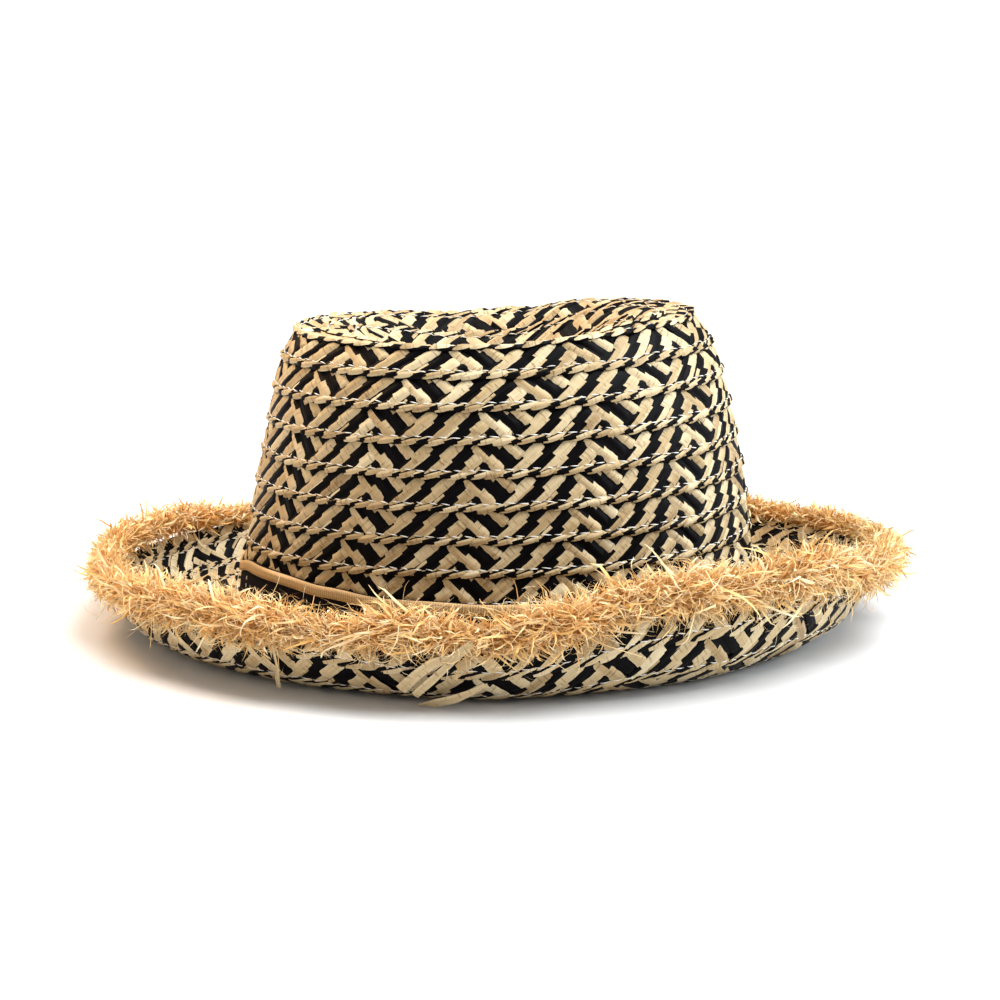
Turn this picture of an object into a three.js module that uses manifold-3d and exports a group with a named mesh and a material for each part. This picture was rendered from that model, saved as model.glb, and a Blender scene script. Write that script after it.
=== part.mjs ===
// A straw fedora that lies on its turned-up brim. Millimetres, +Z up, +X to the hat's front,
// +Y to the wearer's left. The origin is the middle of the flat ring that the brim rests on.
import * as THREE from "three";
import { ParametricGeometry } from "three/addons/geometries/ParametricGeometry.js";
import { mergeVertices } from "three/addons/utils/BufferGeometryUtils.js";
import Module from "manifold-3d";

const wasm = await Module();
wasm.setup();

// Crown, measured outside where it meets the brim
const headLength = 204;
const headWidth = 164;
const crownHeight = 113;
const strawWall = 2;
const dishDepth = 16;
const rimLift = 6; // the rim of the dent stands this much higher over the forehead

// Brim, measured level from the crown
const brimReach = 51;
const brimLift = 24; // height of the turned-up edge, where the table says 1

// Ribbon round the crown
const ribbonHeight = 22.4;
const ribbonThickness = 1;
const stripeHeight = 4.2;
const stripeThickness = 1;

// Raffia fringe along the brim's edge
const fringeCore = 6.4; // radius of the bound roots
const lockReach = 10.5; // from the middle of the roots to a tip
const lockWidth = 14;
const lockThickness = 9;
const lockTip = 0.3; // width of a tip beside that of its root
const lockRise = 4; // height of the middle of the roots above the edge of the straw

// Pieces that touch on the real hat keep this gap
const seamGap = 0.3;

// Fineness of the facets
const facetsAround = 52;
const dishSteps = 5;
const curlSteps = 5;
const coreSides = 6;
const lockSpacing = 30;

const halfLength = headLength / 2;
const halfWidth = headWidth / 2;
const rad = THREE.MathUtils.degToRad;

// Outline of the crown at each share of its height: reach to the back, front and sides, as shares
// of half the head's length or width.
const crownSections = [
  { height: 0.0, back: 1.0, front: 1.0, side: 1.0 },
  { height: 0.21, back: 0.972, front: 0.986, side: 0.977 },
  { height: 0.45, back: 0.928, front: 0.954, side: 0.94 },
  { height: 0.65, back: 0.879, front: 0.911, side: 0.906 },
  { height: 0.77, back: 0.857, front: 0.876, side: 0.876 },
  { height: 0.86, back: 0.834, front: 0.846, side: 0.832 },
  { height: 0.93, back: 0.805, front: 0.809, side: 0.78 },
  { height: 0.975, back: 0.783, front: 0.771, side: 0.736 },
  { height: 1.0, back: 0.768, front: 0.738, side: 0.71 },
];

// Height of the dent's rim round the crown, as a share of rimLift. Angles run from the front over
// the wearer's left.
const rimRows = [
  { angle: 0, lift: 1.0 },
  { angle: 38, lift: 0.95 },
  { angle: 62, lift: 0.6 },
  { angle: 80, lift: 0.1 },
  { angle: 103, lift: -0.25 },
  { angle: 130, lift: 0 },
  { angle: 180, lift: 0 },
  { angle: 250, lift: 0 },
  { angle: 272, lift: 0.15 },
  { angle: 298, lift: 0.6 },
  { angle: 322, lift: 0.95 },
];

// The dent: where its slope starts and where its floor begins, as shares of the way from the middle
// to the rim.
const dishEnds = { lip: 0.8, floor: 0.3 };
const dishSides = { lip: 0.98, floor: 0.42 };

// The brim round the head: its level reach, the part of it that lies flat and the height of its
// edge, as shares of brimReach and brimLift.
const brimRows = [
  { angle: 0, reach: 1.0, flat: 0.27, lift: 0.96 },
  { angle: 45, reach: 1.0, flat: 0.4, lift: 0.79 },
  { angle: 90, reach: 1.0, flat: 0.6, lift: 0.56 },
  { angle: 135, reach: 1.0, flat: 0.59, lift: 0.71 },
  { angle: 180, reach: 1.0, flat: 0.56, lift: 0.79 },
  { angle: 225, reach: 0.98, flat: 0.56, lift: 1.08 },
  { angle: 268, reach: 1.0, flat: 0.6, lift: 0.86 },
  { angle: 300, reach: 0.96, flat: 0.47, lift: 1.42 },
  { angle: 322, reach: 0.94, flat: 0.36, lift: 1.54 },
  { angle: 342, reach: 0.96, flat: 0.3, lift: 1.25 },
];

// Directions in which the fringe's locks leave the roots, in degrees from straight out over
// straight up, with their reach as a share of lockReach.
const lockRows = [
  { tilt: -52, reach: 0.98, turn: 0.0 },
  { tilt: 8, reach: 1.0, turn: 0.5 },
  { tilt: 68, reach: 1.0, turn: 0.0 },
  { tilt: 128, reach: 0.95, turn: 0.5 },
];

// A column of a table of angles, blended smoothly between its rows and round the full circle
function around(rows, column, degrees) {
  const angle = THREE.MathUtils.euclideanModulo(degrees, 360);
  const next = rows.findIndex((row) => row.angle > angle);
  const after = next < 0 ? { ...rows[0], angle: rows[0].angle + 360 } : rows[next];
  const before = rows[(next < 0 ? rows.length : next) - 1];
  const share = THREE.MathUtils.smoothstep(angle, before.angle, after.angle);
  return THREE.MathUtils.lerp(before[column], after[column], share);
}

// A column of the crown's sections at any share of its height
function sectionAt(column, height) {
  const next = Math.max(1, crownSections.findIndex((row) => row.height >= height - 1e-9));
  const [low, high] = [crownSections[next - 1], crownSections[next]];
  const share = (height - low.height) / (high.height - low.height);
  return THREE.MathUtils.lerp(low[column], high[column], share);
}

// Straight out from the head's oval
function outward(degrees) {
  const angle = rad(degrees);
  return new THREE.Vector3(Math.cos(angle) / halfLength, Math.sin(angle) / halfWidth, 0).normalize();
}

// The crown stands on the brim's upper face
const crownFoot = strawWall + seamGap;

// Outside of the crown's wall at a share of its height
function crownWall(degrees, share) {
  const angle = rad(degrees);
  const end = sectionAt(Math.cos(angle) < 0 ? "back" : "front", share);
  const lift = rimLift * around(rimRows, "lift", degrees) * share ** 3;
  return new THREE.Vector3(
    halfLength * end * Math.cos(angle),
    halfWidth * sectionAt("side", share) * Math.sin(angle),
    crownFoot + crownHeight * share + lift,
  );
}

// Outside of the dent: slope runs from 0 at the lip to 1 at the floor's edge
function dish(degrees, slope) {
  const ends = Math.cos(rad(degrees)) ** 2;
  const lip = THREE.MathUtils.lerp(dishSides.lip, dishEnds.lip, ends);
  const floor = THREE.MathUtils.lerp(dishSides.floor, dishEnds.floor, ends);
  const rim = crownWall(degrees, 1);
  const drop = (1 - Math.cos(Math.PI * Math.min(slope, 1))) / 2;
  const reach = slope > 1 ? floor * (2 - slope) : THREE.MathUtils.lerp(lip, floor, slope);
  const floorHeight = crownFoot + crownHeight - dishDepth;
  return new THREE.Vector3(rim.x * reach, rim.y * reach, THREE.MathUtils.lerp(rim.z, floorHeight, drop));
}

// Underside of the brim at a share of its level reach: flat, then curling up in an arc
function brimUnder(degrees, share) {
  const row = (column) => around(brimRows, column, degrees);
  const flat = brimReach * row("flat");
  const curl = brimReach * row("reach") - flat;
  const lift = brimLift * row("lift");
  const turn = 2 * Math.atan2(lift, curl);
  const radius = curl / Math.sin(turn);
  const angle = turn * share;
  const foot = new THREE.Vector3(halfLength * Math.cos(rad(degrees)), halfWidth * Math.sin(rad(degrees)), 0);
  foot.addScaledVector(outward(degrees), flat + radius * Math.sin(angle));
  return foot.setZ(radius * (1 - Math.cos(angle)));
}

// Direction in which the straw climbs at the brim's edge
function climbAt(degrees) {
  return brimUnder(degrees, 1).sub(brimUnder(degrees, 1 - 1 / curlSteps)).normalize();
}

// Normals of a grid of points, one row for each station and one column for each angle
function gridNormals(grid) {
  const count = grid[0].length;
  return grid.map((row, k) =>
    row.map((point, j) => {
      const along = grid[Math.min(k + 1, grid.length - 1)][j].clone().sub(grid[Math.max(k - 1, 0)][j]);
      const across = row[(j + 1) % count].clone().sub(row[(j + count - 1) % count]);
      return across.cross(along).normalize();
    }),
  );
}

// A closed body from rings of points, each ring one point for every angle. A ring of one point is a
// pole. Rings without poles close on the first one.
function ringBody(rings) {
  const poles = rings[0].length === 1;
  const stacks = poles ? rings.length - 1 : rings.length;
  const geometry = new ParametricGeometry(
    (u, v, target) => {
      const ring = rings[Math.round(v * stacks) % rings.length];
      target.copy(ring[Math.round(u * facetsAround) % ring.length]);
    },
    facetsAround,
    stacks,
  );
  return plainGeometry(geometry);
}

// Only positions, with shared vertices merged and faces without area left out
function plainGeometry(geometry) {
  const bare = geometry.clone();
  bare.deleteAttribute("normal");
  bare.deleteAttribute("uv");
  const merged = mergeVertices(bare, 1e-4);
  const index = Array.from(merged.index.array);
  const kept = [];
  for (let i = 0; i < index.length; i += 3) {
    const [a, b, c] = index.slice(i, i + 3);
    if (a !== b && b !== c && c !== a) kept.push(a, b, c);
  }
  merged.setIndex(kept);
  merged.computeVertexNormals();
  return merged;
}

const angles = Array.from({ length: facetsAround }, (_, j) => (360 * j) / facetsAround);
const ringOf = (place) => angles.map((degrees) => place(degrees));
const shifted = (ring, normals, distance) => ring.map((p, j) => p.clone().addScaledVector(normals[j], distance));

// The crown: a wall of straw from its foot over the rim and down into the dent
function crownGeometry() {
  const slopes = Array.from({ length: dishSteps + 1 }, (_, i) => i / dishSteps);
  const outside = [
    ...crownSections.map((row) => ringOf((degrees) => crownWall(degrees, row.height))),
    ...slopes.map((slope) => ringOf((degrees) => dish(degrees, slope))),
    ringOf((degrees) => dish(degrees, 1.5)),
  ];
  const normals = gridNormals(outside);
  normals[0] = angles.map(outward);
  const inside = outside.map((ring, k) => shifted(ring, normals[k], -strawWall));
  const top = dish(0, 2);
  const under = top.clone().setZ(top.z - strawWall);
  return ringBody([[under], ...inside.reverse(), ...outside, [top]]);
}

// The brim: flat round the head, with its edge curled up. Grown by a distance, it is the room that
// the straw takes in a piece that is sewn over its edge.
function brimGeometry(grown = 0) {
  const curls = Array.from({ length: curlSteps }, (_, i) => (i + 1) / curlSteps);
  const inner = ringOf((degrees) => crownWall(degrees, 0).addScaledVector(outward(degrees), -strawWall).setZ(0));
  const under = [inner, ...[0, ...curls].map((share) => ringOf((degrees) => brimUnder(degrees, share)))];
  const normals = gridNormals(under).map((row) => row.map((normal) => normal.negate()));
  normals[0] = normals[0].map(() => new THREE.Vector3(0, 0, 1));
  normals[1] = normals[0];
  under[under.length - 1].forEach((point, j) => point.addScaledVector(climbAt(angles[j]), grown));
  const below = under.map((ring, k) => shifted(ring, normals[k], -grown));
  const above = under.map((ring, k) => shifted(ring, normals[k], strawWall + grown));
  return ringBody([...below, ...above.reverse()]);
}

// A ribbon round the crown between two heights above its foot, lying at a distance from the straw
function ribbonGeometry(low, high, distance, thickness) {
  const shares = [low, high].map((height) => height / crownHeight);
  const layer = (share, depth) =>
    ringOf((degrees) => crownWall(degrees, share).addScaledVector(outward(degrees), depth));
  const inside = shares.map((share) => layer(share, distance));
  const outside = shares.map((share) => layer(share, distance + thickness));
  return ringBody([...inside.reverse(), ...outside]);
}

// Middle of the fringe's roots at one angle, in line with the straw's edge
function rootsAt(degrees) {
  const climb = climbAt(degrees);
  const out = outward(degrees);
  const inwards = out.multiplyScalar(-climb.z).setZ(climb.dot(outward(degrees)));
  return brimUnder(degrees, 1).addScaledVector(inwards, strawWall / 2).addScaledVector(climb, lockRise);
}

// The bound roots of the fringe: a cord that sits on the edge of the straw
function coreGeometry() {
  const sides = Array.from({ length: coreSides }, (_, k) => rad((360 * (k + 0.5)) / coreSides));
  const up = new THREE.Vector3(0, 0, fringeCore);
  const corner = (side) => (degrees) =>
    rootsAt(degrees)
      .addScaledVector(outward(degrees), fringeCore * Math.cos(side))
      .addScaledVector(up, Math.sin(side));
  return ringBody(sides.map((side) => ringOf(corner(side))));
}

// One lock: a flat tapering tuft that leaves the roots in one direction
function lockGeometry(degrees, row) {
  const middle = rootsAt(degrees);
  const out = outward(degrees);
  const up = new THREE.Vector3(0, 0, 1);
  const direction = out.clone().multiplyScalar(Math.cos(rad(row.tilt))).addScaledVector(up, Math.sin(rad(row.tilt)));
  const length = lockReach * row.reach;
  const lock = new THREE.CylinderGeometry(Math.SQRT1_2 * lockTip, Math.SQRT1_2, length, 4, 1);
  lock.rotateY(Math.PI / 4);
  lock.translate(0, length / 2, 0);
  lock.scale(lockWidth, 1, lockThickness);
  const across = new THREE.Vector3().crossVectors(direction, out.clone().cross(up)).normalize();
  const sideways = new THREE.Vector3().crossVectors(direction, across).normalize();
  lock.applyMatrix4(new THREE.Matrix4().makeBasis(sideways, direction, across));
  lock.translate(middle.x, middle.y, middle.z);
  return plainGeometry(lock);
}

function solidFrom(geometry) {
  return new wasm.Manifold(
    new wasm.Mesh({
      numProp: 3,
      vertProperties: new Float32Array(geometry.attributes.position.array),
      triVerts: new Uint32Array(geometry.index.array),
    }),
  );
}

function geometryFrom(solid) {
  const mesh = solid.getMesh();
  const geometry = new THREE.BufferGeometry();
  geometry.setAttribute("position", new THREE.BufferAttribute(mesh.vertProperties, 3));
  geometry.setIndex(new THREE.BufferAttribute(mesh.triVerts, 1));
  geometry.computeVertexNormals();
  return geometry;
}

// The fringe: locks all round, fused to the roots, which are slotted for the straw's edge
function fringeGeometry() {
  const length = Math.PI * (halfLength + halfWidth + 2 * brimReach);
  const count = Math.round(length / lockSpacing);
  let fringe = solidFrom(coreGeometry());
  for (let i = 0; i < count; i += 1) {
    for (const row of lockRows) {
      fringe = fringe.add(solidFrom(lockGeometry((360 * (i + row.turn)) / count, row)));
    }
  }
  return geometryFrom(fringe.subtract(solidFrom(brimGeometry(seamGap))));
}

function piece(name, geometry, colour, roughness) {
  const material = new THREE.MeshStandardMaterial({ color: colour, roughness, metalness: 0 });
  const mesh = new THREE.Mesh(geometry, material);
  mesh.name = name;
  return mesh;
}

const ribbonLow = seamGap;
const ribbonHigh = ribbonLow + ribbonHeight;
const stripeDistance = seamGap + ribbonThickness + seamGap;

const straw = new THREE.Group();
straw.add(piece("crown", crownGeometry(), 0x9c8460, 0.6));
straw.add(piece("brim", brimGeometry(), 0x9c8460, 0.6));

const trim = new THREE.Group();
trim.add(piece("ribbon", ribbonGeometry(ribbonLow, ribbonHigh, seamGap, ribbonThickness), 0x17131a, 0.8));
trim.add(
  piece(
    "ribbon_stripe",
    ribbonGeometry(ribbonHigh - stripeHeight, ribbonHigh, stripeDistance, stripeThickness),
    0xb79a72,
    0.8,
  ),
);
trim.add(piece("fringe", fringeGeometry(), 0xdcae6c, 0.7));

const group = new THREE.Group();
group.name = "straw_fedora";
group.add(straw, trim);

export default group;
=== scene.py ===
import math
import bpy
import bmesh
import numpy as np
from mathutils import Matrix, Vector


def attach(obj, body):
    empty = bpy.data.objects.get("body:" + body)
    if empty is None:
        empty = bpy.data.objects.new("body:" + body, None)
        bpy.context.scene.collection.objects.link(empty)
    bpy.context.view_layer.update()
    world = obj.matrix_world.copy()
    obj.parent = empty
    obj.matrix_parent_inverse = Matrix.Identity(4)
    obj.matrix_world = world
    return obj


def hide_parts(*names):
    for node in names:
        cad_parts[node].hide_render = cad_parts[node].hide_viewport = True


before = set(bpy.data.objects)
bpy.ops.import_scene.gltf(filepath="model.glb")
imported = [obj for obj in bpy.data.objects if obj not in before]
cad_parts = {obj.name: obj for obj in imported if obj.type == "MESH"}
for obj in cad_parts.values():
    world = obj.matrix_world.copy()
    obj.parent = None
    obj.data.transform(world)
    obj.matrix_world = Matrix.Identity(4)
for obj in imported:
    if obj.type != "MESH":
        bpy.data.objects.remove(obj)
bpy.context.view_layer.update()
rng = np.random.default_rng(57)
print("hat: frame loaded")

# Main sizes of the hat in metres, as in the solid model
hat = {
    "headLength": 0.204,
    "headWidth": 0.164,
    "crownHeight": 0.113,
    "crownFoot": 0.0023,
    "strawWall": 0.002,
    "dishDepth": 0.016,
    "rimLift": 0.006,
    "brimReach": 0.051,
    "brimLift": 0.024,
    "ribbonHigh": 0.0227,
    "lockRise": 0.004,
}
halfLength = hat["headLength"] / 2
halfWidth = hat["headWidth"] / 2

# Crown outline: height, then reach to the back, front and sides as shares of half the head
crownSections = np.array([
    (0.0, 1.0, 1.0, 1.0),
    (0.21, 0.972, 0.986, 0.977),
    (0.45, 0.928, 0.954, 0.94),
    (0.65, 0.879, 0.911, 0.906),
    (0.77, 0.857, 0.876, 0.876),
    (0.86, 0.834, 0.846, 0.832),
    (0.93, 0.805, 0.809, 0.78),
    (0.975, 0.783, 0.771, 0.736),
    (1.0, 0.768, 0.738, 0.71),
])
cornerSteps = (-0.03, -0.015, 0, 0.015, 0.03)  # shares of the height over which a corner is rounded

# Rim of the dent: angle from the front over the wearer's left, and height as a share of rimLift
rimRows = np.array([
    (0, 1.0), (38, 0.95), (62, 0.6), (80, 0.1), (103, -0.25), (130, 0), (180, 0),
    (250, 0), (272, 0.15), (298, 0.6), (322, 0.95),
])

# Dent: where its slope starts and where its floor begins, as shares of the way to the rim
dishEnds = {"lip": 0.8, "floor": 0.3}
dishSides = {"lip": 0.98, "floor": 0.42}

# Brim: angle, then reach, level part and height of the edge as shares of brimReach and brimLift
brimRows = np.array([
    (0, 1.0, 0.27, 0.96), (45, 1.0, 0.4, 0.79), (90, 1.0, 0.6, 0.56), (135, 1.0, 0.59, 0.71),
    (180, 1.0, 0.56, 0.79), (225, 0.98, 0.56, 1.08), (268, 1.0, 0.6, 0.86),
    (300, 0.96, 0.47, 1.42), (322, 0.94, 0.36, 1.54), (342, 0.96, 0.3, 1.25),
])


def smooth(low, high, value):
    share = np.clip((value - low) / (high - low), 0, 1)
    return share * share * (3 - 2 * share)


def mix(a, b, share):
    return a + (b - a) * share


def around(table, column, degrees):  # one column of a table of angles, smooth between its rows
    angle = np.mod(degrees, 360)
    here = np.searchsorted(table[:, 0], angle, side="right") - 1
    after = (here + 1) % len(table)
    end = np.where(after == 0, 360, table[after, 0])
    share = smooth(0, 1, (angle - table[here, 0]) / (end - table[here, 0]))
    return mix(table[here, column], table[after, column], share)


def section(column, share):  # a column of the crown's sections, with its corners rounded off
    near = [share + step for step in cornerSteps]
    return np.mean([np.interp(s, crownSections[:, 0], crownSections[:, column]) for s in near], axis=0)


def unit(vectors):
    return vectors / np.maximum(np.linalg.norm(vectors, axis=-1, keepdims=True), 1e-12)


def outward(degrees):  # straight out from the head's oval
    angle = np.radians(degrees)
    return unit(np.stack([np.cos(angle) / halfLength, np.sin(angle) / halfWidth, 0 * angle], -1))


def wallPoint(degrees, share):  # outside of the crown's wall
    angle = np.radians(degrees)
    end = np.where(np.cos(angle) < 0, section(1, share), section(2, share))
    lift = hat["rimLift"] * around(rimRows, 1, degrees) * np.clip(share, 0, 1) ** 3
    x = halfLength * end * np.cos(angle)
    y = halfWidth * section(3, share) * np.sin(angle)
    return np.stack([x, y, hat["crownFoot"] + hat["crownHeight"] * share + lift], -1)


def dentHeight(x, y):  # height of the dent's surface over a point
    end = halfLength * np.where(x < 0, section(1, 1.0), section(2, 1.0))
    side = halfWidth * section(3, 1.0)
    reach = np.hypot(x / end, y / side)
    degrees = np.degrees(np.arctan2(y / side, x / end))
    ends = np.cos(np.radians(degrees)) ** 2
    lip = mix(dishSides["lip"], dishEnds["lip"], ends)
    floor = mix(dishSides["floor"], dishEnds["floor"], ends)
    drop = (1 - np.cos(np.pi * np.clip((lip - reach) / (lip - floor), 0, 1))) / 2
    rim = wallPoint(degrees, 1 + 0 * degrees)[..., 2]
    return mix(rim, hat["crownFoot"] + hat["crownHeight"] - hat["dishDepth"], drop)


# Rows of braid: one spiral from the foot of the crown over the rim to the middle of the dent
rows = {
    "pitch": 0.01205,  # between two rows, along the wall
    "tip": 5.25,  # rows from the middle of the dent to its rim
    "middle": 0.02,  # half the length of the line that the spiral ends on
    "brim": 4.7,
    "driftReach": 2.5,  # rows over which the spiral is straightened at the rim
    "driftFade": (100, 180),  # degrees from the far side over which that fades
}
sideHeights = crownSections[:, 0] * hat["crownHeight"]
sideSteps = np.hypot(np.diff(sideHeights), np.diff(crownSections[:, 3] * halfWidth))
wallLength = np.concatenate([[0], np.cumsum(sideSteps)])
rows["wall"] = wallLength[-1] / rows["pitch"]


def crownPoint(degrees, row):  # row 0 is the middle of the dent, rows["tip"] the rim, more is down
    degrees, row = np.broadcast_arrays(np.asarray(degrees, float), np.asarray(row, float))
    drift = (180 - np.mod(degrees - 90, 360)) / 360  # keeps one edge of the spiral on the near rim
    hold = 1 - smooth(*rows["driftFade"], np.abs(np.mod(degrees - 90, 360) - 180))
    row = row - drift * hold * np.exp(-((row - rows["tip"]) / rows["driftReach"]) ** 2)
    down = np.maximum(row - rows["tip"], 0) * rows["pitch"]
    share = np.interp(wallLength[-1] - down, wallLength, crownSections[:, 0])
    wall = wallPoint(degrees, share)
    inwards = np.clip(row / rows["tip"], 0, 1)
    start = rows["middle"] * np.cos(np.radians(degrees))
    x = mix(start, wall[..., 0], inwards)
    y = wall[..., 1] * inwards
    tip = np.stack([x, y, dentHeight(x, y)], -1)
    return np.where((row >= rows["tip"])[..., None], wall, tip)


def brimPoint(degrees, row):  # middle of the brim's straw: row 0 at the head, rows["brim"] at its edge
    degrees, row = np.broadcast_arrays(np.asarray(degrees, float), np.asarray(row, float))
    flat = hat["brimReach"] * around(brimRows, 2, degrees)
    curl = hat["brimReach"] * around(brimRows, 1, degrees) - flat
    lift = hat["brimLift"] * around(brimRows, 3, degrees)
    turn = 2 * np.arctan2(lift, curl)
    radius = curl / np.sin(turn)
    way = (flat + radius * turn) * np.minimum(row / rows["brim"], 1.0)
    angle = np.maximum(way - flat, 0) / radius
    rise = hat["strawWall"] / 2
    out = np.where(way < flat, way, flat + (radius - rise) * np.sin(angle))
    bearing = np.radians(degrees)
    foot = np.stack([halfLength * np.cos(bearing), halfWidth * np.sin(bearing), 0 * degrees], -1)
    point = foot + outward(degrees) * out[..., None]
    point[..., 2] = rise + (radius - rise) * (1 - np.cos(angle))
    return point


def offSurface(point, degrees, row, height):  # a point at a height over a surface
    turn, step = 0.5, 0.1
    across = point(degrees + turn, row) - point(degrees - turn, row)
    down = point(degrees, row + step) - point(degrees, row - step)
    return point(degrees, row) + unit(np.cross(down, across)) * np.asarray(height)[..., None]


# Making meshes
def gridPatch(lengthSteps, widthSteps):  # corners from -0.5 to 0.5 and the faces of a flat grid
    bm = bmesh.new()
    bmesh.ops.create_grid(bm, x_segments=lengthSteps, y_segments=widthSteps, size=0.5)
    corners = np.array([v.co[:2] for v in bm.verts])
    faces = np.array([[v.index for v in f.verts] for f in bm.faces])
    bm.free()
    return corners, faces


def newPiece(name, points, faces, values, uv, material, slot):
    mesh = bpy.data.meshes.new(name)
    mesh.from_pydata(points.tolist(), [], faces.tolist())
    for key, value in values.items():
        mesh.attributes.new(key, "FLOAT", "POINT").data.foreach_set("value", value.astype(np.float32))
    corner = np.empty(len(mesh.loops), dtype=np.int32)
    mesh.loops.foreach_get("vertex_index", corner)
    mesh.uv_layers.new(name="UVMap").data.foreach_set("uv", uv[corner].astype(np.float32).ravel())
    bm = bmesh.new()
    bm.from_mesh(mesh)
    bmesh.ops.remove_doubles(bm, verts=bm.verts, dist=1e-6)  # closes the seams of round sheets
    bm.to_mesh(mesh)
    bm.free()
    for finish in material if isinstance(material, tuple) else (material,):
        mesh.materials.append(finish)
    if "natural" in values:  # black strands take the second material
        first = faces[:, 0]
        mesh.polygons.foreach_set("material_index", (values["natural"][first] < 0.5).astype(np.int32))
    mesh.shade_smooth()
    piece = bpy.data.objects.new(name, mesh)
    bpy.context.collection.objects.link(piece)
    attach(piece, "root")
    return piece


def joined(parts):  # several (points, faces, values, uv) as one
    shift, faces = 0, []
    for points, corners, _, _ in parts:
        faces.append(corners + shift)
        shift += len(points)
    values = {key: np.concatenate([part[2][key] for part in parts]) for key in parts[0][2]}
    return (np.concatenate([part[0] for part in parts]), np.concatenate(faces), values,
            np.concatenate([part[3] for part in parts]))


def copies(count, size, faces):  # the faces of many copies of one patch
    return (faces[None] + size * np.arange(count)[:, None, None]).reshape(-1, faces.shape[1])


# Materials
def newMaterial(name, roughness):
    material = bpy.data.materials.new(name)
    material.use_nodes = True
    shader = material.node_tree.nodes["Principled BSDF"]
    shader.inputs["Roughness"].default_value = roughness
    return material, material.node_tree, shader


def node(tree, kind, settings=None, **inputs):  # _0, _1 and so on are inputs by number
    made = tree.nodes.new("ShaderNode" + kind)
    for key, value in (settings or {}).items():
        setattr(made, key, value)
    for key, value in inputs.items():
        socket = made.inputs[int(key[1:]) if key[0] == "_" else key]
        if isinstance(value, bpy.types.NodeSocket):
            tree.links.new(value, socket)
        else:
            socket.default_value = value
    return made


def attribute(tree, name):
    return node(tree, "Attribute", {"attribute_name": name}).outputs["Fac"]


def blend(tree, share, a, b, kind="MIX"):
    made = node(tree, "Mix", {"data_type": "RGBA", "blend_type": kind}, _0=share, _6=a, _7=b)
    return made.outputs[2]


def ramp(tree, value, stops):
    made = node(tree, "ValToRGB", None, Fac=value)
    band = made.color_ramp
    while len(band.elements) < len(stops):
        band.elements.new(0.5)
    for element, (place, colour) in zip(band.elements, stops):
        element.position = place
        element.color = (*colour, 1)
    return made.outputs["Color"]


def fibres(tree, along, across, detail=4.0):  # fine lengthwise fibres on a piece's UV map, in metres
    uv = node(tree, "UVMap", {"uv_map": "UVMap"}).outputs["UV"]
    spread = node(tree, "Mapping", None, Vector=uv, Scale=(along, across, 1)).outputs["Vector"]
    return node(tree, "TexNoise", None, Vector=spread, Scale=1.0, Detail=detail).outputs["Fac"]


def mathNode(tree, kind, a, b=0.0):
    return node(tree, "Math", {"operation": kind}, _0=a, _1=b).outputs[0]


def addShares(tree, a, shareA, b, shareB):
    first = mathNode(tree, "MULTIPLY", a, shareA)
    return mathNode(tree, "ADD", first, mathNode(tree, "MULTIPLY", b, shareB))


strawLooks = {
    "deep": (0.24, 0.135, 0.05),
    "natural": (0.475, 0.33, 0.155),
    "pale": (0.76, 0.63, 0.40),
    "black": (0.0016, 0.0012, 0.0014),
    "blackWorn": (0.0055, 0.0045, 0.0055),
    "grain": (90, 2400),  # fibres per metre along a strand and across it
    "creases": (1100, 160),
    "creaseShade": (0.42, 0.36, 0.28),
    "bumpDepth": 0.0005,
}


def strawMaterial():
    material, tree, shader = newMaterial("natural straw", 0.5)
    tone, edge = attribute(tree, "tone"), attribute(tree, "edge")
    grain = fibres(tree, *strawLooks["grain"])
    creases = fibres(tree, *strawLooks["creases"], 2.0)
    mixed = addShares(tree, tone, 0.55, grain, 0.5)
    tan = ramp(tree, mixed, [
        (0.12, strawLooks["deep"]), (0.45, strawLooks["natural"]), (0.85, strawLooks["pale"])])
    # painted highlight: strands are paled towards their sides where the edge attribute is high
    tan = blend(tree, mathNode(tree, "MULTIPLY", edge, 0.45), tan, (*strawLooks["pale"], 1))
    crease = ramp(tree, creases, [(0.33, strawLooks["creaseShade"]), (0.44, (1, 1, 1))])
    tan = blend(tree, 0.75, tan, crease, "MULTIPLY")
    tree.links.new(tan, shader.inputs["Base Color"])
    shader.inputs["Specular IOR Level"].default_value = 0.3
    bump = node(tree, "Bump", None, Strength=0.45, Distance=strawLooks["bumpDepth"],
                Height=mathNode(tree, "ADD", grain, mathNode(tree, "MULTIPLY", creases, 0.7)))
    tree.links.new(bump.outputs["Normal"], shader.inputs["Normal"])
    return material


def blackMaterial():
    material, tree, shader = newMaterial("black straw", 0.42)
    grain = fibres(tree, *strawLooks["grain"])
    black = ramp(tree, grain, [(0.4, strawLooks["black"]), (0.8, strawLooks["blackWorn"])])
    tree.links.new(black, shader.inputs["Base Color"])
    shader.inputs["Specular IOR Level"].default_value = 0.05
    bump = node(tree, "Bump", None, Strength=0.45, Distance=strawLooks["bumpDepth"], Height=grain)
    tree.links.new(bump.outputs["Normal"], shader.inputs["Normal"])
    return material


def threadMaterial():
    material, tree, shader = newMaterial("white thread", 0.6)
    tone = fibres(tree, 900, 2600)
    tree.links.new(ramp(tree, tone, [(0.3, (0.62, 0.58, 0.50)), (0.6, (0.95, 0.93, 0.88))]),
                   shader.inputs["Base Color"])
    return material


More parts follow.
